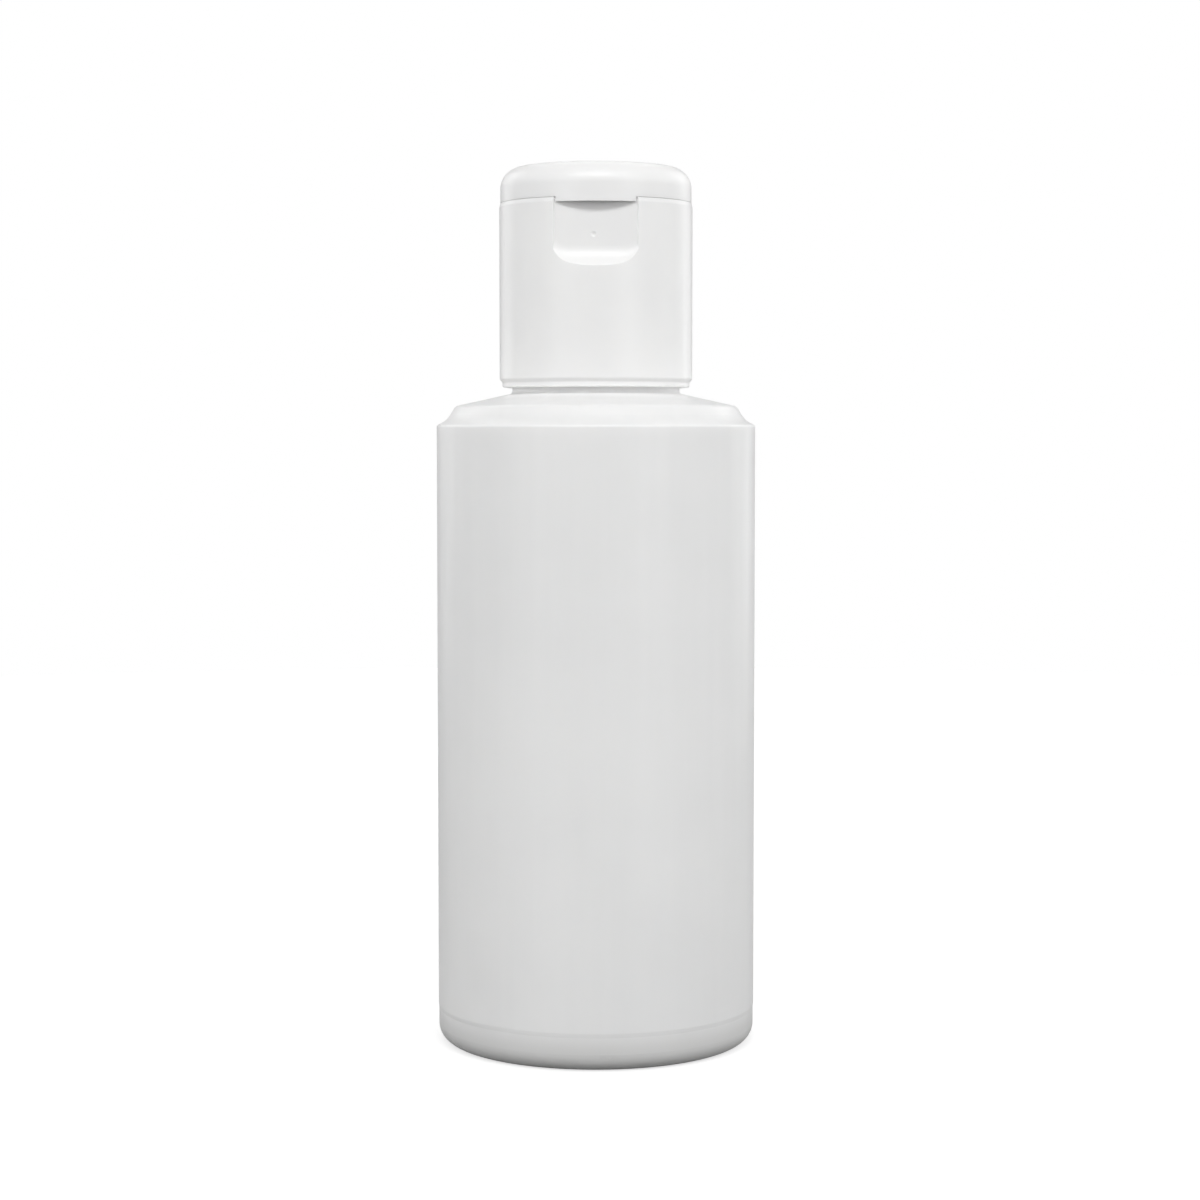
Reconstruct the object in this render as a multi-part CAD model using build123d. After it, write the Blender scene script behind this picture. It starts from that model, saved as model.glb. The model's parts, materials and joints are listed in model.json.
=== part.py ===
from build123d import *
from math import cos, radians, sin, sqrt, tan
import os

# Shampoo bottle with a screw-on flip-top cap. Millimetres, +Z up. The origin is the centre of the standing
# ring, the thumb recess of the cap faces -Y and the hinge of its lid is at +Y.

# Bottle body
BODY_DIAMETER = 45.0        # outside of the straight wall
SHOULDER_HEIGHT = 87.55     # from the standing ring to the outer edge of the shoulder
BODY_WALL = 0.9             # straight wall and shoulder
FLOOR = 1.2                 # thickness of the bottom
PUSH_UP = 1.0               # height of the hollow under the bottom
RING_WIDTH = 2.2            # flat standing ring
RING_SLOPE = 2.5            # radial run from the ring up to the hollow
HEEL_RADIUS = 2.5           # round between the ring and the wall
HEEL_BAND = 5.4             # height of the band that the bottom insert of the mould forms
HEEL_STEP = 0.07            # how much smaller the radius of that band is
HEEL_SLOPE = 0.6            # height in which the band runs out to the wall

# Shoulder, from its outer edge inwards: a shallow slope, a steep slope and a gentle dome
EDGE_RADIUS = 0.4
LOW_SLOPE = 26.0            # degrees from level
LOW_RUN = 1.4
STEEP_SLOPE = 58.0
STEEP_RUN = 1.25
COVE_RADIUS = 3.0
RIM_RADIUS = 0.8
DOME_SLOPE = 12.6
DOME_ROOT_RADIUS = 0.5

# Neck with its thread, a 24-410 finish
THREAD_DIAMETER = 23.9      # over the crest of the thread
THREAD_DEPTH = 1.05
THREAD_PITCH = 3.175
THREAD_TURNS = 1.5
THREAD_WIDTH = 2.1          # at the root
THREAD_FLANK = 30.0         # degrees from level
THREAD_FADE = 40.0          # degrees of turn in which each end of a thread runs out
THREAD_START = 2.3          # from the lip down to the middle of the top turn
NECK_HEIGHT = 16.6          # from the foot of the neck to the lip
NECK_WALL = 1.9             # from the root of the thread to the bore
COLLAR_INSET = 0.15         # plain band at the foot of the neck, smaller in radius than the thread
COLLAR_HEIGHT = 1.6
LIP_ROUND = 0.3

# Foam washer
WASHER_THICKNESS = 1.0
WASHER_BORE = 10.0
WASHER_OVERHANG = 0.6       # past the root of the thread

# Cap body
THREAD_CLEARANCE = 0.25     # radial, crest of one thread to root of the other
CAP_THREAD_WIDTH = 1.9      # at the root
CAP_WALL = 1.4
CAP_GAP = 0.8               # from the foot of the neck up to the cap
CAP_UPPER_HEIGHT = 9.0      # from the sealing land to the parting plane
CAP_RIM_HEIGHT = 0.7        # smaller band at the bottom of the cap
CAP_RIM_INSET = 0.4
CAP_RIM_CHAMFER = 0.5       # height of the slope from that band out to the wall
CAP_EDGE_SLOPE = 0.55       # height of the slope from the wall in to the edge of the lid
DECK_THICKNESS = 1.2
DECK_RECESS = 1.0           # from the parting plane down to the deck
LAND_INSET = 0.6            # sealing tube, smaller in radius than the root of the thread
LAND_WIDTH = 1.4            # wall of the sealing tube, which presses on the washer
CENTRING_RISE = 1.1         # raised ring that centres the closed lid
CENTRING_WALL = 0.9
CENTRING_END_GAP = 0.5      # ends of the ring, clear of the back wall of the lid
LID_CLEARANCE = 0.3         # radial, lid to ring and lid to spout

# Spout
SPOUT_BORE = 3.2
SPOUT_TOP_DIAMETER = 6.4
SPOUT_FOOT_DIAMETER = 8.4
SPOUT_HEIGHT = 2.3          # above the deck
SPOUT_ROUND = 0.5

# Thumb recess
RECESS_DEPTH = 1.55         # at the middle
RECESS_FLAT_WIDTH = 11.2    # between the two slopes that frame the flat
RECESS_FOOT = 2.4           # from the sealing land up to the lower end of the flat
BACKING_WALL = 1.2          # wall behind the recess and behind the hinge flat
RECESS_SCOOP = 3.2          # radius in which the flat runs out to the wall
RECESS_CORNER = 6.0         # corner radius of the recess, at the outer end of the scoop
GATE_DIAMETER = 0.8
GATE_DEPTH = 0.12
GATE_DROP = 5.0             # from the parting plane
GATE_OFFSET = -0.3

# Lid
LID_HEIGHT = 4.9            # from the parting plane to the edge of the crown
LID_INSET = 0.15            # smaller in radius than the cap body
LID_GAP = 0.04              # parting gap
LID_WALL = 1.2
LID_ROUND = 3.0
CROWN_RISE = 0.6
TAB_DROP = 0.6              # from the parting plane down to the lower edge of the thumb tab
TAB_WIDTH = 11.0
TAB_CLEARANCE = 0.12        # from the flat of the thumb recess
PLUG_FOOT_DIAMETER = 2.9
PLUG_TIP_DIAMETER = 2.5
PLUG_DEPTH = 0.9            # into the spout

# Hinge
HINGE_FLAT = 1.6            # depth of the flat at the back of cap body and lid
HINGE_FLAT_FOOT = 2.6       # from the sealing land up to the lower end of the flat
HINGE_AXIS_INSET = 0.4      # from the outside of the cap body
FILM_WIDTH = 5.0
FILM_THICKNESS = 0.35
FILM_GAP = 0.2              # between the two leaves of the closed film
BAND_SPACING = 9.2
BAND_WIDTH = 1.4
BAND_THICKNESS = 0.45
BAND_STANDOFF = 0.15        # from the flat to the band
BAND_DROP = 3.2             # from the parting plane to the lower end
BAND_RISE = 2.6             # from the parting plane to the upper end
BAND_FOOT = 0.8

# Places that follow from the sizes
body_radius = BODY_DIAMETER / 2
thread_radius = THREAD_DIAMETER / 2
root_radius = thread_radius - THREAD_DEPTH
bore_radius = root_radius - NECK_WALL

low_corner = (body_radius - LOW_RUN, SHOULDER_HEIGHT + LOW_RUN * tan(radians(LOW_SLOPE)))
rim_corner = (low_corner[0] - STEEP_RUN, low_corner[1] + STEEP_RUN * tan(radians(STEEP_SLOPE)))
collar_radius = thread_radius - COLLAR_INSET
neck_foot = rim_corner[1] + (rim_corner[0] - collar_radius) * tan(radians(DOME_SLOPE))
lip = neck_foot + NECK_HEIGHT

cap_bore_radius = thread_radius + THREAD_CLEARANCE
cap_radius = cap_bore_radius + CAP_WALL
cap_bottom = neck_foot + CAP_GAP
land = lip + WASHER_THICKNESS
parting = land + CAP_UPPER_HEIGHT
deck_top = parting - DECK_RECESS
deck_under = deck_top - DECK_THICKNESS
lid_radius = cap_radius - LID_INSET
lid_bottom = parting + LID_GAP
lid_top = parting + LID_HEIGHT
lid_bore_radius = lid_radius - LID_WALL
spout_top = deck_top + SPOUT_HEIGHT
flat_y = cap_radius - HINGE_FLAT
axis_y = cap_radius - HINGE_AXIS_INSET
lid_bore_y = flat_y - LID_WALL


def turned(*points, radii):
    """Solid of revolution of an outline that starts and ends on the axis, with one round per inner corner."""
    outline = FilletPolyline(*points, radius=radii)
    closing = Line(outline @ 1, outline @ 0)
    return revolve(Plane.XZ * make_face([outline, closing]), Axis.Z)


def thread(root, side, depth, width, top, turns):
    """Right-hand thread ridge that stands out (side 1) or in (side -1) from the root radius and fades at its ends."""
    sink = 0.3
    slope = tan(radians(THREAD_FLANK))
    sweep_angle = 360 * turns
    steps = round(sweep_angle / 15)
    bottom = top - THREAD_PITCH * turns
    sections = []
    for i in range(steps + 1):
        angle = sweep_angle * i / steps
        height = depth * max(0.03, min(1, angle / THREAD_FADE, (sweep_angle - angle) / THREAD_FADE))
        z = bottom + THREAD_PITCH * angle / 360
        foot, crest = root - side * sink, root + side * height
        foot_half, crest_half = width / 2 + sink * slope, width / 2 - height * slope
        c, s = cos(radians(angle)), sin(radians(angle))
        corners = [(foot, -foot_half), (crest, -crest_half), (crest, crest_half), (foot, foot_half)]
        sections.append(Wire.make_polygon([(r * c, r * s, z + h) for r, h in corners], close=True))
    return Solid.make_loft(sections)


def cylinder(radius, low, high):
    """Round bar on the axis between two heights."""
    return Pos(0, 0, low) * Cylinder(radius, high - low, align=(Align.CENTER, Align.CENTER, Align.MIN))


def block_behind(y, low, high):
    """Block that fills everything behind a plane, between two heights."""
    return Pos(0, y, low) * Box(2 * cap_radius, cap_radius, high - low, align=(Align.CENTER, Align.MIN, Align.MIN))


def block_before(y, low, high):
    """Block that fills everything in front of a plane, between two heights."""
    return Pos(0, y, low) * Box(2 * cap_radius, cap_radius, high - low, align=(Align.CENTER, Align.MAX, Align.MIN))


def make_bottle():
    """Blow-moulded bottle: outside of revolution less the inside, with the thread on the neck."""
    ring_outer = body_radius - HEEL_STEP
    hollow = ring_outer - HEEL_RADIUS - RING_WIDTH - RING_SLOPE
    outside = turned(
        (0, PUSH_UP),
        (hollow, PUSH_UP),
        (hollow + RING_SLOPE, 0),
        (ring_outer, 0),
        (ring_outer, HEEL_BAND - HEEL_SLOPE),
        (body_radius, HEEL_BAND),
        (body_radius, SHOULDER_HEIGHT),
        low_corner,
        rim_corner,
        (collar_radius, neck_foot),
        (collar_radius, neck_foot + COLLAR_HEIGHT),
        (root_radius, neck_foot + COLLAR_HEIGHT + collar_radius - root_radius),
        (root_radius, lip),
        (0, lip),
        radii=[1.0, 0.4, HEEL_RADIUS, 0, 0, EDGE_RADIUS, COVE_RADIUS, RIM_RADIUS, DOME_ROOT_RADIUS, 0.3, 0.3, LIP_ROUND],
    )
    inner_radius = body_radius - BODY_WALL
    inner_rim = rim_corner[0] - BODY_WALL
    dome_under = neck_foot - BODY_WALL / cos(radians(DOME_SLOPE))
    inside = turned(
        (0, PUSH_UP + FLOOR),
        (hollow, PUSH_UP + FLOOR),
        (hollow + RING_SLOPE, FLOOR),
        (inner_radius, FLOOR),
        (inner_radius, SHOULDER_HEIGHT - BODY_WALL),
        (inner_rim, dome_under - (inner_rim - collar_radius) * tan(radians(DOME_SLOPE))),
        (bore_radius, dome_under + (collar_radius - bore_radius) * tan(radians(DOME_SLOPE))),
        (bore_radius, lip + 1),
        (0, lip + 1),
        radii=[1.0, 0.4, 1.5, 1.0, 2.0, 0.8, 0],
    )
    neck_thread = thread(root_radius, 1, THREAD_DEPTH, THREAD_WIDTH, lip - THREAD_START, THREAD_TURNS)
    return outside + neck_thread - inside


def make_washer():
    """Flat foam washer between the lip of the bottle and the deck of the cap."""
    flat = Circle(root_radius + WASHER_OVERHANG) - Circle(WASHER_BORE / 2)
    return extrude(Pos(0, 0, lip) * flat, WASHER_THICKNESS)


def recess_cutter():
    """Thumb recess: a flat with round lower corners, framed by a slope at each side and an arc below."""
    flat = cap_radius - RECESS_DEPTH
    half_width = sqrt(cap_radius**2 - flat**2) + RECESS_SCOOP
    bottom = land + RECESS_FOOT - RECESS_SCOOP
    top = parting + 1
    outline = FilletPolyline(
        (-half_width, top), (-half_width, bottom), (half_width, bottom), (half_width, top), radius=[RECESS_CORNER] * 2
    )
    closing = Line(outline @ 1, outline @ 0)
    block = extrude(Plane.XZ.offset(flat) * make_face([outline, closing]), RECESS_SCOOP + 0.2)
    edges_on_flat = block.faces().sort_by(Axis.Y)[-1].edges().sort_by(Axis.Z)
    scooped = fillet(edges_on_flat[:-1], RECESS_SCOOP)
    inner, outer, front = RECESS_FLAT_WIDTH / 2, RECESS_FLAT_WIDTH / 2 + RECESS_SCOOP, flat + RECESS_SCOOP
    frame = Polyline((-inner, -flat), (inner, -flat), (outer, -front), (-outer, -front), close=True)
    return scooped & extrude(Plane.XY.offset(bottom) * make_face(frame), top - bottom)


def gate_cutter():
    """Shallow round gate mark in the flat of the thumb recess."""
    sphere_radius = ((GATE_DIAMETER / 2) ** 2 + GATE_DEPTH**2) / (2 * GATE_DEPTH)
    centre_y = -(cap_radius - RECESS_DEPTH) - sphere_radius + GATE_DEPTH
    return Pos(GATE_OFFSET, centre_y, parting - GATE_DROP) * Sphere(sphere_radius)


def cap_inside():
    """Space inside the cap body: the threaded bore and, above the land, the ring round the sealing tube."""
    tube_radius = root_radius - LAND_INSET
    upper = cylinder(cap_bore_radius, land, deck_under)
    upper -= block_before(-(cap_radius - RECESS_DEPTH - BACKING_WALL), land, deck_under)
    upper -= block_behind(flat_y - BACKING_WALL, land, deck_under)
    tube = cylinder(tube_radius, land, deck_under) - cylinder(tube_radius - LAND_WIDTH, land, deck_under)
    return cylinder(cap_bore_radius, cap_bottom - 1, land) + upper - tube


def make_cap_base():
    """Cap body: threaded skirt, sealing tube, deck, spout, centring ring and thumb recess."""
    rim_radius = cap_radius - CAP_RIM_INSET
    ring_radius = lid_bore_radius - LID_CLEARANCE
    ring_top = parting + CENTRING_RISE
    shell = turned(
        (0, cap_bottom),
        (rim_radius, cap_bottom),
        (rim_radius, cap_bottom + CAP_RIM_HEIGHT),
        (cap_radius, cap_bottom + CAP_RIM_HEIGHT + CAP_RIM_CHAMFER),
        (cap_radius, parting - CAP_EDGE_SLOPE),
        (lid_radius, parting),
        (ring_radius, parting),
        (ring_radius, ring_top),
        (ring_radius - CENTRING_WALL, ring_top),
        (ring_radius - CENTRING_WALL, deck_top),
        (SPOUT_FOOT_DIAMETER / 2, deck_top),
        (SPOUT_TOP_DIAMETER / 2, spout_top),
        (0, spout_top),
        radii=[0.3, 0.3, 0.5, 0.8, 0, 0, 0.25, 0.25, 0.3, 0.4, SPOUT_ROUND],
    )
    body = shell - cap_inside() - cylinder(SPOUT_BORE / 2, deck_under - 1, spout_top + 1)
    opening = sqrt(ring_radius**2 - (lid_bore_y - LID_CLEARANCE) ** 2) + CENTRING_END_GAP
    body -= Pos(0, cap_radius / 2, parting + 1) * Box(2 * opening, cap_radius, 2)
    body -= block_behind(flat_y, land + HINGE_FLAT_FOOT, parting + 1)
    body -= recess_cutter() + gate_cutter()
    thread_depth = cap_bore_radius - root_radius - THREAD_CLEARANCE
    thread_top = lip - THREAD_START - THREAD_PITCH / 2
    return body + thread(cap_bore_radius, -1, thread_depth, CAP_THREAD_WIDTH, thread_top, THREAD_TURNS)


def make_lid():
    """Flip-up lid: a shallow domed cup with a flat back, a thumb tab and the plug that closes the spout."""
    outside = turned(
        (0, lid_bottom),
        (lid_radius, lid_bottom),
        (lid_radius, lid_top),
        (0, lid_top + CROWN_RISE),
        radii=[0, LID_ROUND],
    )
    outside -= block_behind(flat_y, lid_bottom, lid_top + CROWN_RISE)
    inside = turned(
        (0, lid_bottom - 1),
        (lid_bore_radius, lid_bottom - 1),
        (lid_bore_radius, lid_top - LID_WALL),
        (0, lid_top + CROWN_RISE - LID_WALL),
        radii=[0, LID_ROUND - LID_WALL],
    )
    inside -= block_behind(lid_bore_y, lid_bottom - 1, lid_top + CROWN_RISE)
    plug = turned(
        (0, spout_top - PLUG_DEPTH),
        (PLUG_TIP_DIAMETER / 2, spout_top - PLUG_DEPTH),
        (PLUG_FOOT_DIAMETER / 2, spout_top),
        (PLUG_FOOT_DIAMETER / 2, lid_top + CROWN_RISE - LID_WALL / 2),
        (0, lid_top + CROWN_RISE - LID_WALL / 2),
        radii=[0.4, 0.3, 0],
    )
    tab = cylinder(lid_radius, parting - TAB_DROP, lid_bottom + LID_WALL)
    tab &= block_before(-(cap_radius - RECESS_DEPTH + TAB_CLEARANCE), parting - TAB_DROP, lid_top)
    tab &= Pos(0, 0, parting) * Box(TAB_WIDTH, 2 * cap_radius, 2 * LID_HEIGHT)
    return outside - inside + plug + tab


def make_hinge_film():
    """Living hinge folded shut: two thin leaves from the flat backs that meet in a bend round the hinge axis."""
    half = FILM_GAP / 2 + FILM_THICKNESS
    outer = Pos(axis_y, parting) * Circle(half) + Pos(flat_y, parting) * Rectangle(
        axis_y - flat_y, 2 * half, align=(Align.MIN, Align.CENTER)
    )
    gap = Pos(axis_y, parting) * Circle(FILM_GAP / 2) + Pos(flat_y, parting) * Rectangle(
        axis_y - flat_y, FILM_GAP, align=(Align.MIN, Align.CENTER)
    )
    return extrude(Plane.YZ * (outer - gap), FILM_WIDTH / 2, both=True)


def make_tension_band(side):
    """Thin band beside the hinge film, from a foot on the cap body to a foot on the lid."""
    low, high = parting - BAND_DROP, parting + BAND_RISE
    inner, outer = flat_y + BAND_STANDOFF, flat_y + BAND_STANDOFF + BAND_THICKNESS
    profile = make_face(
        FilletPolyline(
            (flat_y, low),
            (outer, low),
            (outer, high),
            (flat_y, high),
            (flat_y, high - BAND_FOOT),
            (inner, high - BAND_FOOT),
            (inner, low + BAND_FOOT),
            (flat_y, low + BAND_FOOT),
            radius=[0, 0.3, 0.3, 0, 0, 0.1, 0.1, 0],
            close=True,
        )
    )
    band = extrude(Plane.YZ * profile, BAND_WIDTH / 2, both=True)
    return Pos(side * BAND_SPACING / 2, 0, 0) * band


os.makedirs("parts", exist_ok=True)
export_step(make_bottle(), "parts/bottle.step")
export_step(make_washer(), "parts/seal_gasket.step")
export_step(make_cap_base(), "parts/cap_base.step")
export_step(make_lid(), "parts/flip_lid.step")
export_step(make_hinge_film(), "parts/living_hinge.step")
export_step(make_tension_band(-1), "parts/tension_band_left.step")
export_step(make_tension_band(1), "parts/tension_band_right.step")

print("neck foot %.3f, lip %.3f, cap bottom %.3f" % (neck_foot, lip, cap_bottom))
print("parting plane %.3f, total height %.3f" % (parting, lid_top + CROWN_RISE))
print("hinge axis at y %.3f, z %.3f" % (axis_y, parting))
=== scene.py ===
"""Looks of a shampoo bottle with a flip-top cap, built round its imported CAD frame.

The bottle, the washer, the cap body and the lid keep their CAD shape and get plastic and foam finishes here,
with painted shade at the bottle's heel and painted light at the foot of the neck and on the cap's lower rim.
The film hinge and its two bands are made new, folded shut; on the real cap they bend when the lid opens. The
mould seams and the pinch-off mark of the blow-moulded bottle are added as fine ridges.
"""

import json
import math

import bpy
import numpy as np
from bpy.props import FloatProperty, FloatVectorProperty, PointerProperty
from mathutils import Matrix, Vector
from mathutils.bvhtree import BVHTree


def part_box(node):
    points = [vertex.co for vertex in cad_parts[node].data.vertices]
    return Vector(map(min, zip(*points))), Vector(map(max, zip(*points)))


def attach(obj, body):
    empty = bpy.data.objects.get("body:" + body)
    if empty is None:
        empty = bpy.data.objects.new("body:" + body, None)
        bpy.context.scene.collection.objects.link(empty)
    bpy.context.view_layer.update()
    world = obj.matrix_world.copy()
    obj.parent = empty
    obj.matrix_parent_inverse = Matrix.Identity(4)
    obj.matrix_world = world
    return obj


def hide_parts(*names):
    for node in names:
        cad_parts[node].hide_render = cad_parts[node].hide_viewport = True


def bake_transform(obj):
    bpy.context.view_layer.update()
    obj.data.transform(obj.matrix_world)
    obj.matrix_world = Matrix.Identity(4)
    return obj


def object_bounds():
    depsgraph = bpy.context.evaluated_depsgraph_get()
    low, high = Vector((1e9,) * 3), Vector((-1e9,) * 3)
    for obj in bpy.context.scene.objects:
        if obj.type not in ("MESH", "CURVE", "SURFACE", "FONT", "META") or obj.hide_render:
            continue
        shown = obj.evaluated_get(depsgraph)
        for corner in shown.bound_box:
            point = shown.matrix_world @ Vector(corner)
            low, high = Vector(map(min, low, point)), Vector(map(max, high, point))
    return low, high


bl_info = {
    "name": "Flip-top shampoo bottle",
    "version": (1, 0, 0),
    "blender": (4, 5, 0),
    "location": "3D View > Sidebar > Bottle",
    "description": "Finishes and fine pieces of a flip-top shampoo bottle, with its stage",
    "category": "Object",
}

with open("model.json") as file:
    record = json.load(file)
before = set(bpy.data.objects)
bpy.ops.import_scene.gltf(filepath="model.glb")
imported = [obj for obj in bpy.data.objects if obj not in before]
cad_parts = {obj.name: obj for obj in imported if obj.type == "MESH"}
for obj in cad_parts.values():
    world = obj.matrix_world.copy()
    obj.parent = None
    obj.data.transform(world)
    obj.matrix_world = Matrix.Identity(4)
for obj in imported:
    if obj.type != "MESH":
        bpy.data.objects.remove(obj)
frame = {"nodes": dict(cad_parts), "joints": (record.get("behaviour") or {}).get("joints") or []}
cad_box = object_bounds()

MM = 0.001
lid_hinge = next(joint for joint in frame["joints"] if joint["name"] == "lid_hinge")
HINGE_AXIS = np.array(lid_hinge["pos_m"])
BODY_RADIUS = (cad_box[1].x - cad_box[0].x) / 2
CAP_LOW, CAP_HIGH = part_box("cap_base")
LID_LOW, LID_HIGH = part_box("flip_lid")
FILM_LOW, FILM_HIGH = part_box("living_hinge")
FLAT_Y = FILM_LOW[1]
FILM_ROOT = 0.25 * MM  # how deep the film's ends are set in the flat
BAND_ROOT = 0.2 * MM  # how deep the bands' ends are set in the flat
BAND_CORNER = 0.45 * MM  # round at both ends of a band
SEAM_FADE = 0.03  # share of a seam's length in which each end fades out
# painted light and shade tones: how much of each reach is at full strength
PAINTED_TONE_CORE = 0.35  # share of a tone's reach in which it is at full strength
RUBBED_ROUGHER = 0.25  # added roughness where an edge is rubbed
MIX_FACTOR, MIX_FIRST, MIX_SECOND, MIX_RESULT = 0, 6, 7, 2  # colour sockets of a Mix node


# ---------------------------------------------------------------- settings


class BottleFinish(bpy.types.PropertyGroup):
    """Finish of the blow-moulded bottle, with painted shade at the heel and painted light at the foot of the
    neck.
    """

    colour: FloatVectorProperty(
        name="Wall colour",
        description="Main colour of the wall",
        subtype="COLOR",
        size=3,
        default=(0.825, 0.825, 0.82),
    )
    colour_thin: FloatVectorProperty(
        name="Thin colour",
        description="Colour where the wall is drawn a little thinner",
        subtype="COLOR",
        size=3,
        default=(0.78, 0.782, 0.78),
    )
    # painted shade: darker towards the bottom, where less light reaches the heel near the floor
    heel_painted_shade: FloatVectorProperty(
        name="Heel colour",
        description="Colour of the thick heel, which lets less light through",
        subtype="COLOR",
        size=3,
        default=(0.62, 0.62, 0.615),
    )
    # painted light: lighter at the foot of the neck, over the shade in the gap under the cap
    neck_painted_light: FloatVectorProperty(
        name="Neck colour",
        description="Colour of the foot of the neck, where the wall bleeds light into the gap under the cap",
        subtype="COLOR",
        size=3,
        default=(0.97, 0.97, 0.965),
    )
    # reach of the heel's painted shade
    heel_shade_height: FloatProperty(
        name="Heel height",
        description="Height at which the heel colour has faded out",
        unit="LENGTH",
        default=6.0 * MM,
    )
    seam_width: FloatProperty(
        name="Seam width", description="Width of the mould seam", unit="LENGTH", default=0.3 * MM
    )
    seam_height: FloatProperty(
        name="Seam height", description="How far the mould seam stands out", unit="LENGTH", default=0.022 * MM
    )
    seam_turn: FloatProperty(
        name="Seam turn",
        description="Turn of the mould's parting plane from the side of the bottle",
        subtype="ANGLE",
        default=math.radians(8),
    )
    pinch_length: FloatProperty(
        name="Pinch length",
        description="Length of the pinch-off mark under the bottom",
        unit="LENGTH",
        default=24 * MM,
    )
    pinch_width: FloatProperty(
        name="Pinch width", description="Width of the pinch-off mark", unit="LENGTH", default=0.9 * MM
    )
    pinch_height: FloatProperty(
        name="Pinch height",
        description="How far the pinch-off mark stands out",
        unit="LENGTH",
        default=0.35 * MM,
    )


class CapFinish(bpy.types.PropertyGroup):
    """Finish of the injection-moulded cap, with painted light on its lower rim, and the sizes of its hinge.
    """

    colour: FloatVectorProperty(
        name="Cap colour",
        description="Main colour of the cap",
        subtype="COLOR",
        size=3,
        default=(0.83, 0.83, 0.825),
    )
    colour_flow: FloatVectorProperty(
        name="Flow colour",
        description="Colour of the faint flow marks in the cap",
        subtype="COLOR",
        size=3,
        default=(0.81, 0.81, 0.808),
    )
    colour_worn: FloatVectorProperty(
        name="Rubbed colour",
        description="Colour of the rubbed edges",
        subtype="COLOR",
        size=3,
        default=(0.74, 0.74, 0.735),
    )
    # painted light: lighter lower rim of the cap, over the shade above the neck
    rim_painted_light: FloatVectorProperty(
        name="Rim colour",
        description="Colour of the lower rim of the cap, which is thin and lets light through",
        subtype="COLOR",
        size=3,
        default=(0.95, 0.95, 0.945),
    )
    film_thickness: FloatProperty(
        name="Film thickness", description="Thickness of the film hinge", unit="LENGTH", default=0.35 * MM
    )
    film_waist: FloatProperty(
        name="Film waist",
        description="How much narrower each side of the film is at its bend",
        unit="LENGTH",
        default=0.5 * MM,
    )
    band_thickness: FloatProperty(
        name="Band thickness",
        description="Thickness of the two bands beside the film",
        unit="LENGTH",
        default=0.45 * MM,
    )


class WasherFinish(bpy.types.PropertyGroup):
    """Finish of the foam washer."""

    colour: FloatVectorProperty(
        name="Foam colour",
        description="Main colour of the foam",
        subtype="COLOR",
        size=3,
        default=(0.84, 0.84, 0.82),
    )
    cell_size: FloatProperty(
        name="Cell size", description="Size of the cells of the foam", unit="LENGTH", default=0.25 * MM
    )


class StageSettings(bpy.types.PropertyGroup):
    """Floor, light and camera."""

    floor_colour: FloatVectorProperty(
        name="Floor colour",
        description="Colour of the floor",
        subtype="COLOR",
        size=3,
        default=(0.45, 0.45, 0.45),
    )
    floor_radius: FloatProperty(
        name="Floor radius", description="Radius of the floor", unit="LENGTH", default=0.6
    )
    floor_bounce: FloatProperty(
        name="Floor bounce",
        description="Share of the light that the floor throws back at the bottle",
        default=0.28,
    )
    floor_lift: FloatProperty(
        name="Floor lift",
        description="Extra brightness of the floor as the camera sees it",
        default=0.66,
        min=0,
    )
    surround: FloatProperty(
        name="Surround", description="Strength of the even light from all round", default=0.15, min=0
    )
    softbox_share: FloatProperty(
        name="Softbox strength", description="Scales the power of all the softboxes", default=1.0, min=0
    )
    lens: FloatProperty(
        name="Lens", description="Focal length of the camera in millimetres", default=81.3, min=1
    )
    camera_place: FloatVectorProperty(
        name="Camera place",
        description="Where the camera stands",
        subtype="TRANSLATION",
        size=3,
        default=(0.00057, -0.3843, 0.0873),
    )
    camera_pitch: FloatProperty(
        name="Camera pitch",
        description="How far the camera looks down",
        subtype="ANGLE",
        default=math.radians(3.65),
    )


# ---------------------------------------------------------------- surfaces


def grid_mesh(name, points, wrap_v=False, cap_ends=False):
    """Mesh of a grid of points, shaped (u, v, 3), with quads between neighbours.

    wrap_v joins the last column to the first. cap_ends closes the first and last u row of a tube that wraps
    in v with one point at the middle of each.
    """
    rows, columns = points.shape[:2]
    index = np.arange(rows * columns).reshape(rows, columns)
    if wrap_v:
        index = np.hstack([index, index[:, :1]])
    quads = np.stack([index[:-1, :-1], index[1:, :-1], index[1:, 1:], index[:-1, 1:]], axis=-1).reshape(-1, 4)
    vertices = points.reshape(-1, 3)
    faces = quads.tolist()
    if cap_ends:
        first, last = points[0].mean(axis=0), points[-1].mean(axis=0)
        vertices = np.vstack([vertices, first, last])
        start, end = len(vertices) - 2, len(vertices) - 1
        low = np.stack([np.full(columns, start), index[0, :-1], index[0, 1:]], axis=-1)
        high = np.stack([np.full(columns, end), index[-1, 1:], index[-1, :-1]], axis=-1)
        faces += low.tolist() + high.tolist()
    mesh = bpy.data.meshes.new(name)
    mesh.from_pydata(vertices.tolist(), [], faces)
    mesh.update()
    mesh.shade_smooth()
    piece = bpy.data.objects.new(name, mesh)
    bpy.context.scene.collection.objects.link(piece)
    return piece


def triangles(mesh):
    """Places of a mesh's vertices, and the three vertex numbers of each of its triangles."""
    mesh.calc_loop_triangles()
    corners = np.empty(len(mesh.loop_triangles) * 3, dtype=np.int64)
    mesh.loop_triangles.foreach_get("vertices", corners)
    places = np.empty(len(mesh.vertices) * 3)
    mesh.vertices.foreach_get("co", places)
    return places.reshape(-1, 3), corners.reshape(-1, 3)


def facing_out(piece):
    """Turns the faces of a closed piece outwards, by the sign of its volume."""
    places, corners = triangles(piece.data)
    a, b, c = places[corners].transpose(1, 0, 2)
    if np.einsum("ij,ij->i", a, np.cross(b, c)).sum() < 0:
        piece.data.flip_normals()
    return piece


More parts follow.
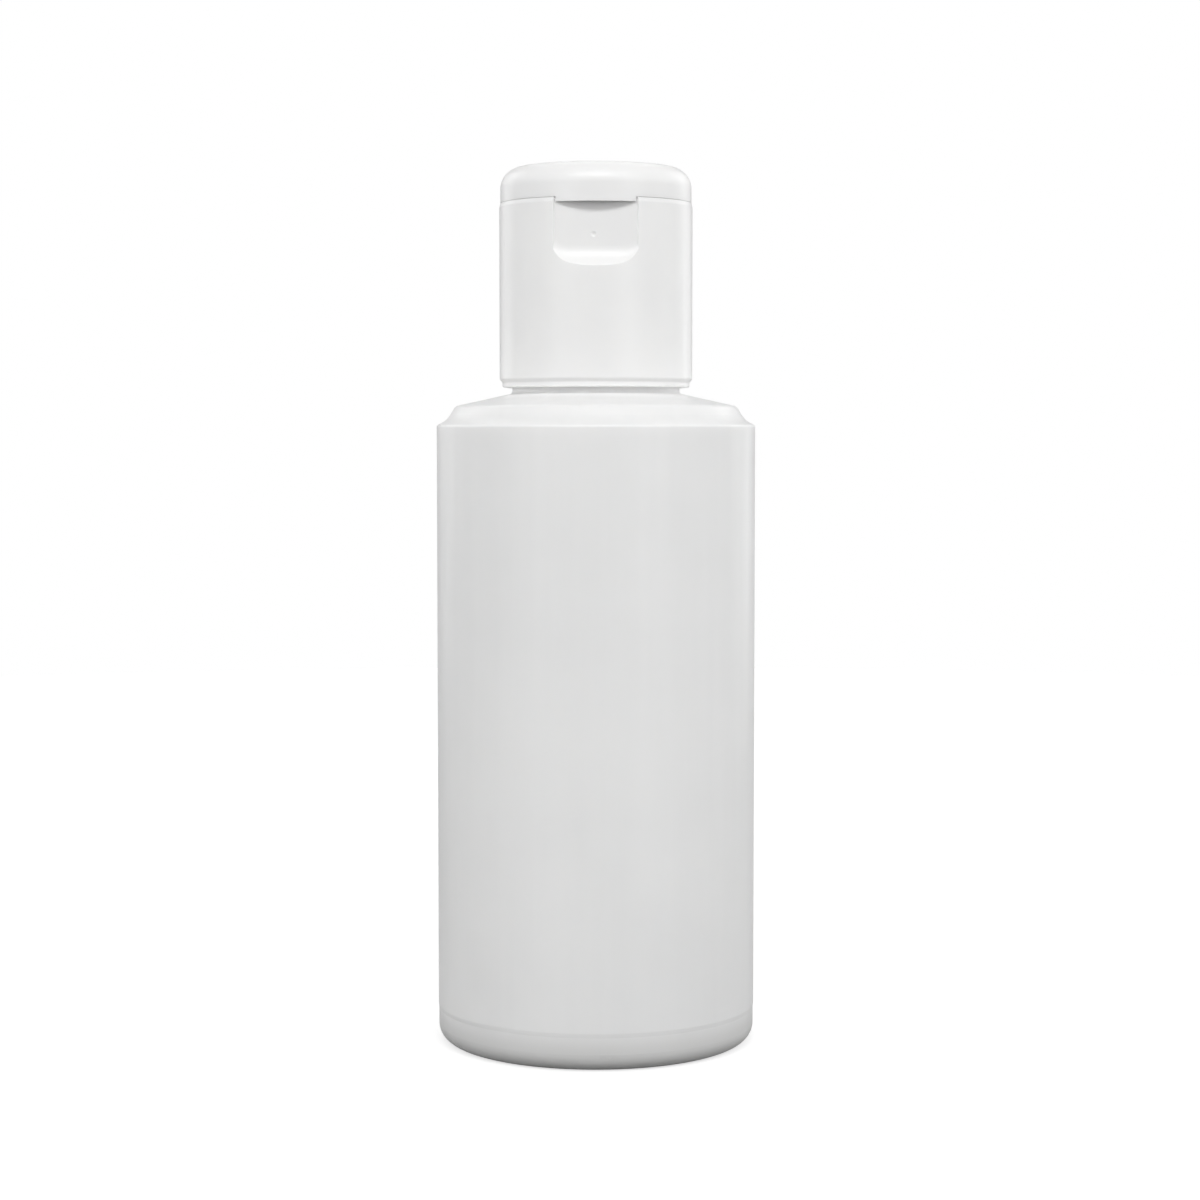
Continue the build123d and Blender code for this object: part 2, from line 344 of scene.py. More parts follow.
def superellipse(count, half_width, half_height, power):
    """Closed outline of count points: x = a |cos t|^(2/p) sign(cos t), y = b |sin t|^(2/p) sign(sin t)."""
    turn = np.linspace(0, 2 * np.pi, count, endpoint=False)
    x = half_width * np.sign(np.cos(turn)) * np.abs(np.cos(turn)) ** (2 / power)
    y = half_height * np.sign(np.sin(turn)) * np.abs(np.sin(turn)) ** (2 / power)
    return x, y


def strip_along(name, path, half_widths, half_thickness, centre_x):
    """Flat strip along a path in the plane X = centre_x.

    At each path point (y, z) the section is a superellipse, as wide along X as half_widths says there and
    half_thickness thick along the path's normal: P(u, v) = path(u) + X x(v) + normal(u) y(v).
    """
    tangent = np.gradient(path, axis=0)
    tangent /= np.linalg.norm(tangent, axis=1, keepdims=True)
    normal = np.stack([-tangent[:, 1], tangent[:, 0]], axis=1)
    x, y = superellipse(40, 1.0, half_thickness, 5)
    points = np.empty((len(path), len(x), 3))
    points[:, :, 0] = centre_x + half_widths[:, None] * x[None, :]
    points[:, :, 1:] = path[:, None, :] + normal[:, None, :] * y[None, :, None]
    return facing_out(grid_mesh(name, points, wrap_v=True, cap_ends=True))


def joined(*parts):
    """One (n, 2) path from several, without the repeated points where they meet."""
    return np.vstack([parts[0], *[part[1:] for part in parts[1:]]])


def straight(start, end, count):
    """Evenly spaced points from start to end."""
    return np.linspace(start, end, count)


def arc(centre, radius, start_deg, end_deg, count):
    """Points on an arc: centre + radius (cos a, sin a)."""
    angle = np.radians(np.linspace(start_deg, end_deg, count))
    return np.stack([centre[0] + radius * np.cos(angle), centre[1] + radius * np.sin(angle)], axis=1)


def bottle_skin():
    """Search tree of the bottle's triangles, which finds where a ray meets the wall."""
    places, corners = triangles(frame["nodes"]["bottle"].data)
    return BVHTree.FromPolygons(places.tolist(), corners.tolist())


def wall_hits(turn, starts, directions):
    """Where rays in the half plane at an angle round the axis meet the outside of the bottle.

    Starts and directions are (r, z) pairs, and so are the places and normals that come back.
    """
    skin = bottle_skin()
    across = np.array([math.cos(turn), math.sin(turn)])
    places, normals = [], []
    for (r, z), (dr, dz) in zip(starts, directions):
        origin = Vector((r * across[0], r * across[1], z))
        place, normal, _, _ = skin.ray_cast(origin, Vector((dr * across[0], dr * across[1], dz)))
        if place is None:
            raise RuntimeError("a seam ray missed the bottle")
        places.append((place.x * across[0] + place.y * across[1], place.z))
        normals.append((normal.x * across[0] + normal.y * across[1], normal.z))
    return np.array(places), np.array(normals)


# ---------------------------------------------------------------- shader groups


def shader_group(name, inputs, outputs):
    """New shader node group, with inputs {name: (socket type, default)} and outputs {name: socket type}."""
    group = bpy.data.node_groups.new(name, "ShaderNodeTree")
    for label, (kind, default) in inputs.items():
        socket = group.interface.new_socket(name=label, in_out="INPUT", socket_type=kind)
        socket.default_value = default
    for label, kind in outputs.items():
        group.interface.new_socket(name=label, in_out="OUTPUT", socket_type=kind)
    return group, group.nodes.new("NodeGroupInput"), group.nodes.new("NodeGroupOutput")


def math_node(tree, operation, first, second=None):
    """Math node of two sockets or numbers, and its output."""
    node = tree.nodes.new("ShaderNodeMath")
    node.operation = operation
    for slot, value in enumerate((first, second)):
        if isinstance(value, (int, float)):
            node.inputs[slot].default_value = value
        elif value is not None:
            tree.links.new(value, node.inputs[slot])
    return node.outputs[0]


def opaque(colour):
    """Colour with a full alpha."""
    return (*colour, 1.0)


def mix_colour(tree, factor, first, second):
    """Mix of two colours, each a socket or three numbers, by a factor socket, and its output."""
    node = tree.nodes.new("ShaderNodeMix")
    node.data_type = "RGBA"
    tree.links.new(factor, node.inputs[MIX_FACTOR])
    for slot, value in ((MIX_FIRST, first), (MIX_SECOND, second)):
        if isinstance(value, bpy.types.NodeSocket):
            tree.links.new(value, node.inputs[slot])
        else:
            node.inputs[slot].default_value = opaque(value)
    return node.outputs[MIX_RESULT]


def noise(tree, vector, scale, detail, roughness=0.5):
    """Noise of a vector socket, with a scale that is a number or a socket, and its value from 0 to 1."""
    node = tree.nodes.new("ShaderNodeTexNoise")
    node.inputs["Detail"].default_value = detail
    node.inputs["Roughness"].default_value = roughness
    tree.links.new(vector, node.inputs["Vector"])
    if isinstance(scale, (int, float)):
        node.inputs["Scale"].default_value = scale
    else:
        tree.links.new(scale, node.inputs["Scale"])
    return node.outputs["Fac"]


def stretched(tree, vector, scale):
    """Vector scaled by a Mapping node, which stretches a pattern."""
    node = tree.nodes.new("ShaderNodeMapping")
    node.inputs["Scale"].default_value = scale
    tree.links.new(vector, node.inputs["Vector"])
    return node.outputs["Vector"]


def ranged(tree, value, low, high, to_low, to_high):
    """Value mapped smoothly from low..high to to_low..to_high, where each limit is a number or a socket."""
    node = tree.nodes.new("ShaderNodeMapRange")
    node.interpolation_type = "SMOOTHSTEP"
    tree.links.new(value, node.inputs["Value"])
    limits = {"From Min": low, "From Max": high, "To Min": to_low, "To Max": to_high}
    for label, limit in limits.items():
        if isinstance(limit, (int, float)):
            node.inputs[label].default_value = limit
        else:
            tree.links.new(limit, node.inputs[label])
    return node.outputs["Result"]


def height_from(tree, height):
    """Distance up or down from a height, a number or a socket, in Object coordinates."""
    split = tree.nodes.new("ShaderNodeSeparateXYZ")
    tree.links.new(tree.nodes.new("ShaderNodeTexCoord").outputs["Object"], split.inputs[0])
    return math_node(tree, "ABSOLUTE", math_node(tree, "SUBTRACT", split.outputs["Z"], height))


def moulded_skin_group():
    """Skin of moulded plastic: cloudy tone, streaks along the axis, a fine grain and a slow ripple."""
    group, given, result = shader_group(
        "moulded_skin",
        {
            "Colour": ("NodeSocketColor", (0.8, 0.8, 0.8, 1)),
            "Second colour": ("NodeSocketColor", (0.7, 0.7, 0.7, 1)),
            "Cloud scale": ("NodeSocketFloat", 60.0),
            "Streak scale": ("NodeSocketFloat", 400.0),
            "Grain scale": ("NodeSocketFloat", 5000.0),
            "Ripple scale": ("NodeSocketFloat", 120.0),
            "Grain share": ("NodeSocketFloat", 0.3),
            "Streak share": ("NodeSocketFloat", 0.2),
            "Smoothest": ("NodeSocketFloat", 0.3),
            "Roughest": ("NodeSocketFloat", 0.45),
        },
        {"Colour": "NodeSocketColor", "Roughness": "NodeSocketFloat", "Height": "NodeSocketFloat"},
    )
    place = group.nodes.new("ShaderNodeTexCoord").outputs["Object"]
    cloud = noise(group, place, given.outputs["Cloud scale"], 3)
    streak = noise(group, stretched(group, place, (1, 1, 0.04)), given.outputs["Streak scale"], 2)
    grain = noise(group, place, given.outputs["Grain scale"], 2)
    ripple = noise(group, stretched(group, place, (1, 1, 0.45)), given.outputs["Ripple scale"], 1)
    apart = math_node(group, "SUBTRACT", streak, cloud)
    drawn = math_node(group, "MULTIPLY", apart, given.outputs["Streak share"])
    tone = ranged(group, math_node(group, "ADD", cloud, drawn), 0.3, 0.7, 0.0, 1.0)
    colour = mix_colour(group, tone, given.outputs["Colour"], given.outputs["Second colour"])
    streaky, grainy = math_node(group, "MULTIPLY", streak, 0.6), math_node(group, "MULTIPLY", grain, 0.4)
    uneven = math_node(group, "ADD", streaky, grainy)
    rough = ranged(group, uneven, 0.35, 0.65, given.outputs["Smoothest"], given.outputs["Roughest"])
    fine = math_node(group, "MULTIPLY", grain, given.outputs["Grain share"])
    height = math_node(group, "ADD", ripple, fine)
    group.links.new(colour, result.inputs["Colour"])
    group.links.new(rough, result.inputs["Roughness"])
    group.links.new(height, result.inputs["Height"])


def rubbed_edge_group():
    """Mask of 0 to 1 round one height of the object, broken up by noise: where hands rub an edge."""
    group, given, result = shader_group(
        "rubbed_edge",
        {
            "Height": ("NodeSocketFloat", 0.1),
            "Width": ("NodeSocketFloat", 0.0006),
            "Strength": ("NodeSocketFloat", 0.5),
        },
        {"Mask": "NodeSocketFloat"},
    )
    place = group.nodes.new("ShaderNodeTexCoord").outputs["Object"]
    away = height_from(group, given.outputs["Height"])
    near = ranged(group, away, 0.0, given.outputs["Width"], 1.0, 0.0)
    patches = ranged(group, noise(group, place, 900.0, 4, 0.65), 0.42, 0.68, 0.0, 1.0)
    mask = math_node(group, "MULTIPLY", near, patches)
    group.links.new(math_node(group, "MULTIPLY", mask, given.outputs["Strength"]), result.inputs["Mask"])


def placed_group(tree, group, **values):
    """Group node in a material, with values by input name, where _ stands for a space."""
    node = tree.nodes.new("ShaderNodeGroup")
    node.node_tree = group
    for label, value in values.items():
        node.inputs[label.replace("_", " ")].default_value = value
    return node


def relief(tree, height, strength, distance):
    """Normal of a Bump node on a height socket."""
    node = tree.nodes.new("ShaderNodeBump")
    node.inputs["Strength"].default_value = strength
    node.inputs["Distance"].default_value = distance
    tree.links.new(height, node.inputs["Height"])
    return node.outputs["Normal"]


def plastic(name, skin, edges, subsurface, bump, specular, painted_shade_and_light=()):
    """Moulded plastic.

    skin is the values of the skin group, edges the colour of the rubbed edges with their heights, widths and
    strengths, where the bottle's rubbed colour is the heel's painted shade, subsurface its weight and depth,
    bump its strength and height, and the last argument the painted light and shade: colours that take over
    round a height, each with that height and the distance from it at which the colour has faded out.
    """
    material = bpy.data.materials.new(name)
    material.use_nodes = True
    tree = material.node_tree
    shader = tree.nodes["Principled BSDF"]
    surface = placed_group(tree, bpy.data.node_groups["moulded_skin"], **skin)
    colour, rough = surface.outputs["Colour"], surface.outputs["Roughness"]
    # painted light and shade: each colour takes over round a height
    for tone, height, reach in painted_shade_and_light:
        share = ranged(tree, height_from(tree, height), PAINTED_TONE_CORE * reach, reach, 1.0, 0.0)
        colour = mix_colour(tree, share, colour, tone)
    if edges:
        # colour of the rubbed edges; on the bottle it is the heel's painted shade
        wear_and_shade_colour, places = edges
        mask = None
        for height, width, strength in places:
            edge = placed_group(
                tree, bpy.data.node_groups["rubbed_edge"], Height=height, Width=width, Strength=strength
            ).outputs["Mask"]
            mask = edge if mask is None else math_node(tree, "MAXIMUM", mask, edge)
        colour = mix_colour(tree, mask, colour, wear_and_shade_colour)
        rough = math_node(tree, "ADD", rough, math_node(tree, "MULTIPLY", mask, RUBBED_ROUGHER))
    tree.links.new(colour, shader.inputs["Base Color"])
    tree.links.new(rough, shader.inputs["Roughness"])
    tree.links.new(relief(tree, surface.outputs["Height"], *bump), shader.inputs["Normal"])
    subsurface_weight, subsurface_depth = subsurface
    shader.inputs["IOR"].default_value = 1.5
    shader.inputs["Specular IOR Level"].default_value = specular
    shader.inputs["Subsurface Weight"].default_value = subsurface_weight
    shader.inputs["Subsurface Radius"].default_value = (1.0, 0.97, 0.94)
    shader.inputs["Subsurface Scale"].default_value = subsurface_depth
    return material


def give(node, material):
    """Puts a material in every slot of a CAD node."""
    for slot in frame["nodes"][node].material_slots:
        slot.material = material


# ---------------------------------------------------------------- operators


class BOTTLE_OT_shader_groups(bpy.types.Operator):
    """Make the shader groups that the plastics share"""

    bl_idname = "bottle.shader_groups"
    bl_label = "Shader groups"

    def execute(self, context):
        moulded_skin_group()
        rubbed_edge_group()
        return {"FINISHED"}


class BOTTLE_OT_wall(bpy.types.Operator):
    """Give the bottle its milky blow-moulded finish, with painted shade at the heel and painted light at the
    foot of the neck
    """

    bl_idname = "bottle.wall"
    bl_label = "Bottle wall"

    def execute(self, context):
        finish = context.scene.bottle_finish
        skin = {
            "Colour": opaque(finish.colour),
            "Second_colour": opaque(finish.colour_thin),
            "Cloud_scale": 30.0,
            "Streak_scale": 420.0,
            "Grain_scale": 4200.0,
            "Ripple_scale": 90.0,
            "Grain_share": 0.18,
            "Smoothest": 0.36,
            "Roughest": 0.5,
        }
        # the bottom edge is rubbed rougher, and its colour there is the heel's painted shade
        edges = (finish.heel_painted_shade, [(0.0, 1.2 * MM, 0.5)])
        painted_shade_and_light = [
            # painted shade, darker towards the bottom
            (finish.heel_painted_shade, 0.0, finish.heel_shade_height),
            # painted light at the foot of the neck, over the shade under the cap
            (finish.neck_painted_light, CAP_LOW[2] - 0.3 * MM, 1.4 * MM),
        ]
        bump = (0.1, 0.12 * MM)
        give("bottle", plastic("milky_polyethylene", skin, edges, (0.5, 1.5 * MM), bump, 0.4, painted_shade_and_light))
        # a ridge is too thin for light to spread in it
        plastic("milky_polyethylene_ridge", skin, edges, (0.0, 1.5 * MM), bump, 0.4, painted_shade_and_light)
        return {"FINISHED"}


class BOTTLE_OT_mould_seams(bpy.types.Operator):
    """Add the two fine seams that the halves of the blow mould leave up the sides and over the shoulder"""

    bl_idname = "bottle.mould_seams"
    bl_label = "Mould seams"

    def execute(self, context):
        finish = context.scene.bottle_finish
        # the path is where rays meet the skin: level ones up the wall, then ones swung round the corner of
        # the shoulder, then upright ones inwards over the dome to the cap
        outside = BODY_RADIUS * 1.5
        wall_foot, wall_top = 6.2 * MM, CAP_LOW[2] - 5.6 * MM
        heights = np.linspace(wall_foot, wall_top, 60)
        starts = [(outside, z) for z in heights]
        directions = [(-1.0, 0.0)] * len(heights)
        corner = BODY_RADIUS - 3 * MM
        swing = np.radians(np.linspace(4, 84, 40))
        starts += [(corner + outside * math.cos(a), wall_top + outside * math.sin(a)) for a in swing]
        directions += [(-math.cos(a), -math.sin(a)) for a in swing]
        dome = np.linspace(corner - 0.6 * MM, BODY_RADIUS * 0.55, 24)
        dome = dome[dome > CAP_HIGH[0]]
        starts += [(r, CAP_LOW[2] + outside) for r in dome]
        directions += [(0.0, -1.0)] * len(dome)
        for name, turn in (
            ("mould_seam_right", finish.seam_turn),
            ("mould_seam_left", finish.seam_turn + math.pi),
        ):
            places, normals = wall_hits(turn, starts, directions)
            ridge_piece(name, turn, places, normals, finish.seam_width, finish.seam_height)
        return {"FINISHED"}


def moulded_on(piece):
    """Makes a piece one with the bottle: the same plastic, slot and body."""
    piece.data.materials.append(bpy.data.materials["milky_polyethylene_ridge"])
    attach(piece, "bottle")


def ridge_piece(name, turn, places, normals, width, height):
    """Fine ridge on the bottle along a path in the half plane at an angle round the axis.

    The section is a low lens: with t from -1 to 1 across it, its outer half stands h (1 - 1.5 t^2) proud of
    the wall, so both edges are buried in it, and its inner half lies h (1 - 0.5 t^2) inside the wall. Its
    height wanders by up to a quarter along the path, and it fades out at both ends.
    """
    steps = np.concatenate([[0], np.cumsum(np.linalg.norm(np.diff(places, axis=0), axis=1))])
    share = steps / steps[-1]
    fade = np.clip(np.minimum(share, 1 - share) / SEAM_FADE, 0.02, 1)
    wander = 1 + 0.25 * np.sin(37 * share) * np.sin(11 * share + 1)
    across = np.linspace(-1, 1, 9)
    crown, sole = 1 - 1.5 * across**2, -0.5 - 0.5 * (1 - across[1:-1] ** 2)[::-1]
    t = np.concatenate([across, across[1:-1][::-1]])
    h = np.concatenate([crown, sole])
    radial = np.array([math.cos(turn), math.sin(turn), 0.0])
    along_x = np.array([-math.sin(turn), math.cos(turn), 0.0])
    up = np.array([0.0, 0.0, 1.0])
    centre = places[:, :1] * radial + places[:, 1:] * up
    out = normals[:, :1] * radial + normals[:, 1:] * up
    lift = (height * fade * wander)[:, None, None] * h[None, :, None]
    side = (width / 2 * np.sqrt(fade))[:, None, None] * t[None, :, None]
    points = centre[:, None, :] + out[:, None, :] * lift + along_x * side
    moulded_on(facing_out(grid_mesh(name, points, wrap_v=True, cap_ends=True)))


class BOTTLE_OT_pinch_off(bpy.types.Operator):
    """Add the pinch-off mark that closes the bottom of a blow-moulded bottle"""

    bl_idname = "bottle.pinch_off"
    bl_label = "Pinch-off mark"

    def execute(self, context):
        # a bar in the mould's parting plane, P(u, v) = along(u) + f(u) section(v): its section is a
        # superellipse, its size fades as f = sqrt(1 - (along / half)^2), and it wanders a little sideways
        finish = context.scene.bottle_finish
        half = finish.pinch_length / 2
        along = half * np.sin(np.linspace(-np.pi / 2, np.pi / 2, 48))
        place = bottle_skin().ray_cast(Vector((0.001, 0, -0.01)), Vector((0, 0, 1)))[0]
        if place is None:
            raise RuntimeError("the bottom of the bottle was not found")
        fade = np.sqrt(np.clip(1 - (along / half) ** 2, 0.0004, 1))
        t, h = superellipse(28, finish.pinch_width / 2, finish.pinch_height, 2.6)
        wander = 0.06 * MM * np.sin(along / (1.7 * MM))
        direction = np.array([math.cos(finish.seam_turn), math.sin(finish.seam_turn), 0.0])
        sideways = np.array([-direction[1], direction[0], 0.0])
        across = fade[:, None] * t + wander[:, None]
        points = along[:, None, None] * direction + across[:, :, None] * sideways
        points[:, :, 2] = place.z - fade[:, None] * h
        moulded_on(facing_out(grid_mesh("pinch_off", points, wrap_v=True, cap_ends=True)))
        return {"FINISHED"}


class BOTTLE_OT_cap_shell(bpy.types.Operator):
    """Give the cap body and the lid their smooth injection-moulded finish, with painted light on the cap's
    lower rim
    """

    bl_idname = "bottle.cap_shell"
    bl_label = "Cap and lid"

    def execute(self, context):
        finish = context.scene.cap_finish
        skin = {
            "Colour": opaque(finish.colour),
            "Second_colour": opaque(finish.colour_flow),
            "Cloud_scale": 110.0,
            "Streak_scale": 500.0,
            "Streak_share": 0.1,
            "Grain_scale": 6500.0,
            "Ripple_scale": 160.0,
            "Grain_share": 0.12,
            "Smoothest": 0.36,
            "Roughest": 0.45,
        }
        rims = [(LID_LOW[2], 0.5 * MM, 0.12), (LID_HIGH[2], 1.2 * MM, 0.3)]
        # painted light on the cap's lower rim
        painted_shade_and_light = [(finish.rim_painted_light, CAP_LOW[2], 0.35 * MM)]
        edges = (finish.colour_worn, rims)
        bump = (0.08, 0.1 * MM)
        material = plastic("white_polypropylene", skin, edges, (0.35, 1.0 * MM), bump, 0.5, painted_shade_and_light)
        give("cap_base", material)
        give("flip_lid", material)
        return {"FINISHED"}


class BOTTLE_OT_washer(bpy.types.Operator):
    """Give the sealing washer its foam finish"""

    bl_idname = "bottle.washer"
    bl_label = "Foam washer"

    def execute(self, context):
        finish = context.scene.washer_finish
        material = bpy.data.materials.new("closed_cell_foam")
        material.use_nodes = True
        tree = material.node_tree
        shader = tree.nodes["Principled BSDF"]
        place = tree.nodes.new("ShaderNodeTexCoord").outputs["Object"]
        cells = tree.nodes.new("ShaderNodeTexVoronoi")
        cells.inputs["Scale"].default_value = 1 / finish.cell_size
        tree.links.new(place, cells.inputs["Vector"])
        walls = ranged(tree, cells.outputs["Distance"], 0.1, 0.7, 0.0, 1.0)
        deep_colour = [0.9 * channel for channel in finish.colour]
        rough = ranged(tree, noise(tree, place, 2500.0, 3), 0.3, 0.7, 0.6, 0.8)
        tree.links.new(mix_colour(tree, walls, deep_colour, finish.colour), shader.inputs["Base Color"])
        tree.links.new(rough, shader.inputs["Roughness"])
        tree.links.new(relief(tree, walls, 0.5, 0.1 * MM), shader.inputs["Normal"])
        give("seal_gasket", material)
        return {"FINISHED"}


def film_plastic():
    """Finish of the film and bands: the cap's plastic, a little glossier and clearer because it is thin."""
    made = bpy.data.materials.get("thin_polypropylene")
    if made:
        return made
    finish = bpy.context.scene.cap_finish
    skin = {
        "Colour": opaque(finish.colour),
        "Second_colour": opaque(finish.colour_flow),
        "Cloud_scale": 400.0,
        "Streak_scale": 900.0,
        "Grain_scale": 7000.0,
        "Ripple_scale": 700.0,
        "Grain_share": 0.1,
        "Smoothest": 0.2,
        "Roughest": 0.34,
    }
    return plastic("thin_polypropylene", skin, None, (0.5, 0.6 * MM), (0.08, 0.05 * MM), 0.5)


class BOTTLE_OT_film_hinge(bpy.types.Operator):
    """Make the film hinge at the back, folded shut"""

    bl_idname = "bottle.film_hinge"
    bl_label = "Film hinge"

    def execute(self, context):
        # folded shut, the film runs straight out of the cap, half round the hinge axis and straight into
        # the lid
        finish = context.scene.cap_finish
        thickness = finish.film_thickness
        middle = FILM_HIGH[2] - HINGE_AXIS[2] - thickness / 2
        axis = (HINGE_AXIS[1], HINGE_AXIS[2])
        root = FLAT_Y - FILM_ROOT
        path = joined(
            straight((root, axis[1] - middle), (axis[0], axis[1] - middle), 20),
            arc(axis, middle, -90, 90, 41),
            straight((axis[0], axis[1] + middle), (root, axis[1] + middle), 20),
        )
        half = (FILM_HIGH[0] - FILM_LOW[0]) / 2
        reach = np.clip((path[:, 0] - FLAT_Y) / (axis[0] - FLAT_Y), 0, 1)
        half_widths = half - finish.film_waist * (1 - (1 - reach) ** 2)
        piece = strip_along("film_hinge", path, half_widths, thickness / 2, 0.0)
        piece.data.materials.append(film_plastic())
        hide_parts("living_hinge")
        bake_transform(piece)
        return {"FINISHED"}


class BOTTLE_OT_bands(bpy.types.Operator):
    """Make the two bands beside the film hinge, which hold the lid open and shut"""

    bl_idname = "bottle.bands"
    bl_label = "Tension bands"

    def execute(self, context):
        # each band comes out of the cap's flat, turns up past the parting and turns back into the lid's flat
        finish = context.scene.cap_finish
        thickness = finish.band_thickness
        for node, name in (("tension_band_left", "band_left"), ("tension_band_right", "band_right")):
            low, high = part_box(node)
            outer = high[1] - thickness / 2
            root = FLAT_Y - BAND_ROOT
            bottom, top = low[2] + thickness / 2, high[2] - thickness / 2
            path = joined(
                straight((root, bottom), (outer - BAND_CORNER, bottom), 6),
                arc((outer - BAND_CORNER, bottom + BAND_CORNER), BAND_CORNER, -90, 0, 10),
                straight((outer, bottom + BAND_CORNER), (outer, top - BAND_CORNER), 64),
                arc((outer - BAND_CORNER, top - BAND_CORNER), BAND_CORNER, 0, 90, 10),
                straight((outer - BAND_CORNER, top), (root, top), 6),
            )
            middle = abs(path[:, 1] - HINGE_AXIS[2]) / (high[2] - HINGE_AXIS[2])
            half_widths = (high[0] - low[0]) / 2 * (0.82 + 0.18 * np.clip(middle, 0, 1) ** 2)
            piece = strip_along(name, path, half_widths, thickness / 2, (low[0] + high[0]) / 2)
            piece.data.materials.append(film_plastic())
            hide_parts(node)
            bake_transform(piece)
        return {"FINISHED"}


class BOTTLE_OT_stage(bpy.types.Operator):
    """Make the pale floor, the soft studio light and the camera"""

    bl_idname = "bottle.stage"
    bl_label = "Stage"

    def execute(self, context):
        settings = context.scene.stage_settings
        make_floor(settings)
        make_surround(settings)
        make_lights(settings)
        make_camera(settings)
        return {"FINISHED"}


def make_floor(settings):
    """Round floor: P(s, t) = s R (cos t, sin t), just under the standing ring."""
    reach = np.concatenate([[1e-4], np.geomspace(0.02, 1.0, 24)]) * settings.floor_radius
    turn = np.linspace(0, 2 * np.pi, 96, endpoint=False)
    points = np.zeros((len(reach), len(turn), 3))
    points[:, :, 0] = reach[:, None] * np.cos(turn)
    points[:, :, 1] = reach[:, None] * np.sin(turn)
    points[:, :, 2] = -0.02 * MM
    floor = grid_mesh("floor", points, wrap_v=True)
    material = bpy.data.materials.new("pale_floor")
    material.use_nodes = True
    tree = material.node_tree
    shader = tree.nodes["Principled BSDF"]
    seen = tree.nodes.new("ShaderNodeLightPath").outputs["Is Camera Ray"]
    colour = mix_colour(tree, seen, [settings.floor_bounce] * 3, settings.floor_colour)
    tree.links.new(colour, shader.inputs["Base Color"])
    lift = math_node(tree, "MULTIPLY", seen, settings.floor_lift)
    shader.inputs["Emission Color"].default_value = (1, 1, 1, 1)
    tree.links.new(lift, shader.inputs["Emission Strength"])
    shader.inputs["Roughness"].default_value = 0.9
    shader.inputs["Specular IOR Level"].default_value = 0.0
    floor.data.materials.append(material)


def make_surround(settings):
    """Even surround: the camera sees plain white, and the object gets even light of the set strength."""
    world = bpy.data.worlds.new("studio")
    bpy.context.scene.world = world
    world.use_nodes = True
    tree = world.node_tree
    tree.nodes.clear()
    even, seen = tree.nodes.new("ShaderNodeBackground"), tree.nodes.new("ShaderNodeBackground")
    even.inputs["Strength"].default_value = settings.surround
    even.inputs["Color"].default_value = seen.inputs["Color"].default_value = (1, 1, 1, 1)
    seen.inputs["Strength"].default_value = 1.0
    rays = tree.nodes.new("ShaderNodeLightPath")
    mix, output = tree.nodes.new("ShaderNodeMixShader"), tree.nodes.new("ShaderNodeOutputWorld")
    tree.links.new(rays.outputs["Is Camera Ray"], mix.inputs[0])
    tree.links.new(even.outputs[0], mix.inputs[1])
    tree.links.new(seen.outputs[0], mix.inputs[2])
    tree.links.new(mix.outputs[0], output.inputs["Surface"])


SOFTBOXES = (
    # name, place in metres, width and height in metres, power in watts
    ("softbox_key", (0.0, -0.75, 0.8), (0.7, 0.22), 5.75),
    ("softbox_top_back", (0.0, 0.7, 0.9), (0.8, 0.6), 1.8),
    ("softbox_front_right", (0.8, -0.9, 0.5), (0.7, 0.9), 4.6),
    ("softbox_front_left", (-0.8, -0.9, 0.5), (0.7, 0.9), 4.4),
    ("softbox_right", (1.2, 0.0, 0.35), (0.7, 0.9), 3.8),
    ("softbox_left", (-1.2, 0.0, 0.35), (0.7, 0.9), 2.8),
    ("softbox_back_right", (0.9, 0.8, 0.4), (0.7, 0.9), 4.7),
    ("softbox_back_left", (-0.9, 0.8, 0.4), (0.7, 0.9), 4.1),
)


def make_lights(settings):
    """Ring of softboxes that all face the middle of the bottle."""
    aim = (cad_box[0] + cad_box[1]) / 2
    for name, place, (width, height), power in SOFTBOXES:
        lamp = bpy.data.lights.new(name, "AREA")
        lamp.shape = "RECTANGLE"
        lamp.size, lamp.size_y = width, height
        lamp.energy = power * settings.softbox_share
        light = bpy.data.objects.new(name, lamp)
        light.location = place
        light.rotation_euler = (aim - Vector(place)).to_track_quat("-Z", "Y").to_euler()
        bpy.context.scene.collection.objects.link(light)


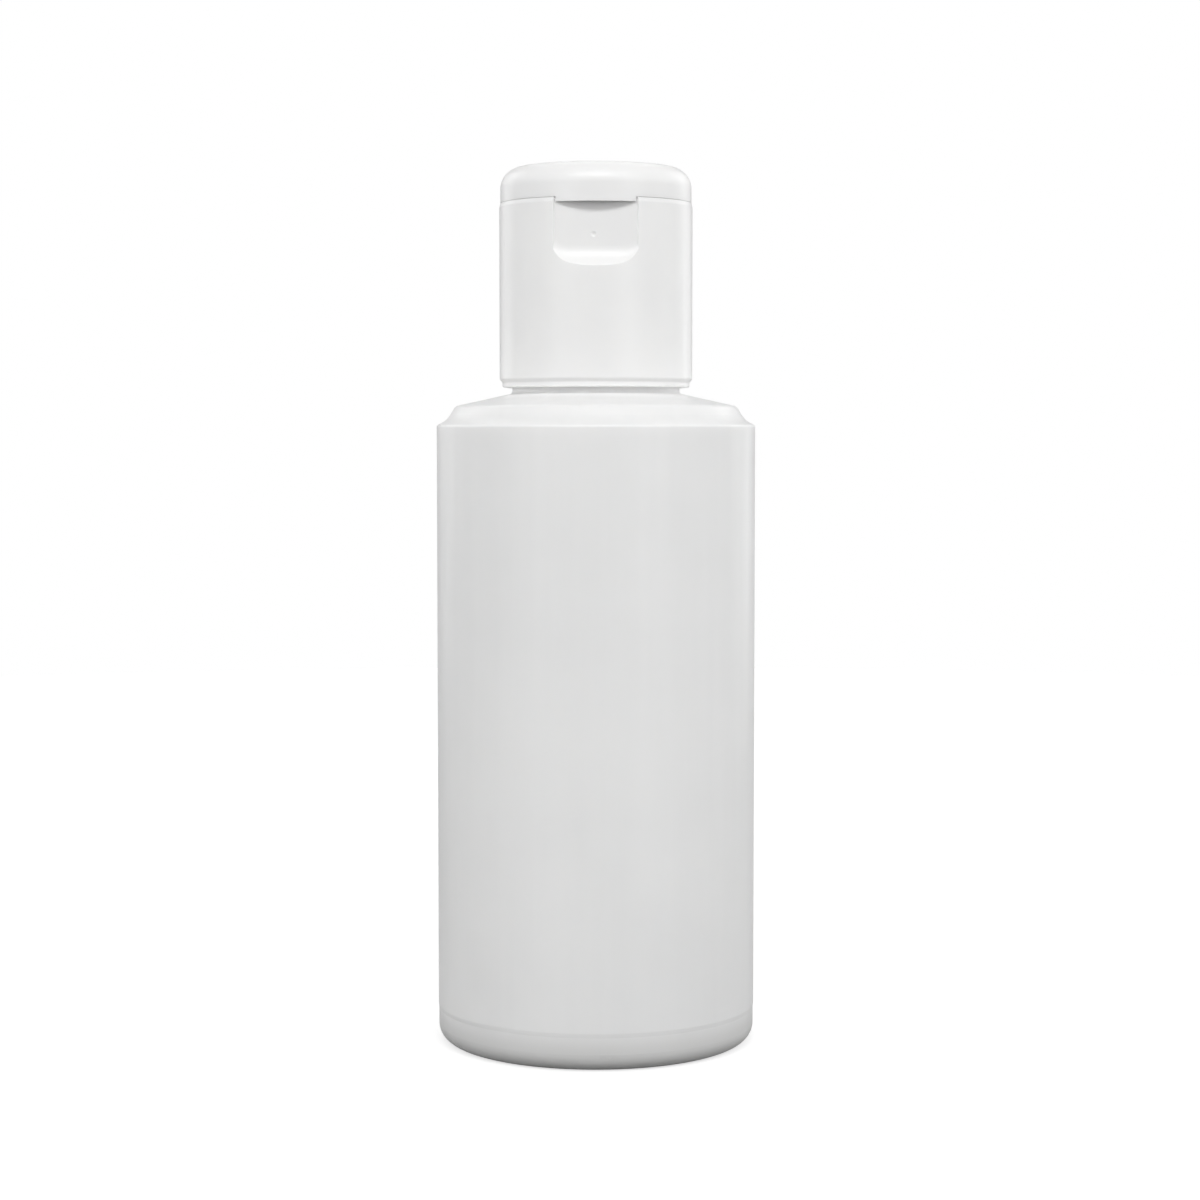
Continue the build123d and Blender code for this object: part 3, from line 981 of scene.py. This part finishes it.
def make_camera(settings):
    """Camera about level with the shoulder, looking slightly down."""
    lens = bpy.data.cameras.new("camera")
    lens.lens = settings.lens
    lens.sensor_width = 36.0
    camera = bpy.data.objects.new("camera", lens)
    camera.location = settings.camera_place
    camera.rotation_euler = (math.pi / 2 - settings.camera_pitch, 0, 0)
    bpy.context.scene.collection.objects.link(camera)
    bpy.context.scene.camera = camera
    bpy.context.scene.view_settings.view_transform = "Standard"


class BOTTLE_PT_panel(bpy.types.Panel):
    """Panel of the bottle in the sidebar of the 3D view"""

    bl_idname = "BOTTLE_PT_panel"
    bl_label = "Flip-top bottle"
    bl_space_type = "VIEW_3D"
    bl_region_type = "UI"
    bl_category = "Bottle"

    def draw(self, context):
        for group in ("bottle_finish", "cap_finish", "washer_finish", "stage_settings"):
            settings = getattr(context.scene, group)
            box = self.layout.box()
            for name in settings.__annotations__:
                box.prop(settings, name)
        for operator in OPERATORS:
            self.layout.operator(operator.bl_idname)


SETTINGS = {
    "bottle_finish": BottleFinish,
    "cap_finish": CapFinish,
    "washer_finish": WasherFinish,
    "stage_settings": StageSettings,
}
OPERATORS = (
    BOTTLE_OT_shader_groups,
    BOTTLE_OT_wall,
    BOTTLE_OT_mould_seams,
    BOTTLE_OT_pinch_off,
    BOTTLE_OT_cap_shell,
    BOTTLE_OT_washer,
    BOTTLE_OT_film_hinge,
    BOTTLE_OT_bands,
    BOTTLE_OT_stage,
)


def register():
    """Registers the settings, the operators and the panel."""
    for name, group in SETTINGS.items():
        bpy.utils.register_class(group)
        setattr(bpy.types.Scene, name, PointerProperty(type=group))
    for operator in OPERATORS:
        bpy.utils.register_class(operator)
    bpy.utils.register_class(BOTTLE_PT_panel)


def unregister():
    """Takes back what register did."""
    bpy.utils.unregister_class(BOTTLE_PT_panel)
    for operator in reversed(OPERATORS):
        bpy.utils.unregister_class(operator)
    for name, group in SETTINGS.items():
        delattr(bpy.types.Scene, name)
        bpy.utils.unregister_class(group)


def main():
    """Makes every piece in order."""
    register()
    for operator in OPERATORS:
        group, name = operator.bl_idname.split(".")
        getattr(getattr(bpy.ops, group), name)()


if __name__ == "__main__":
    main()
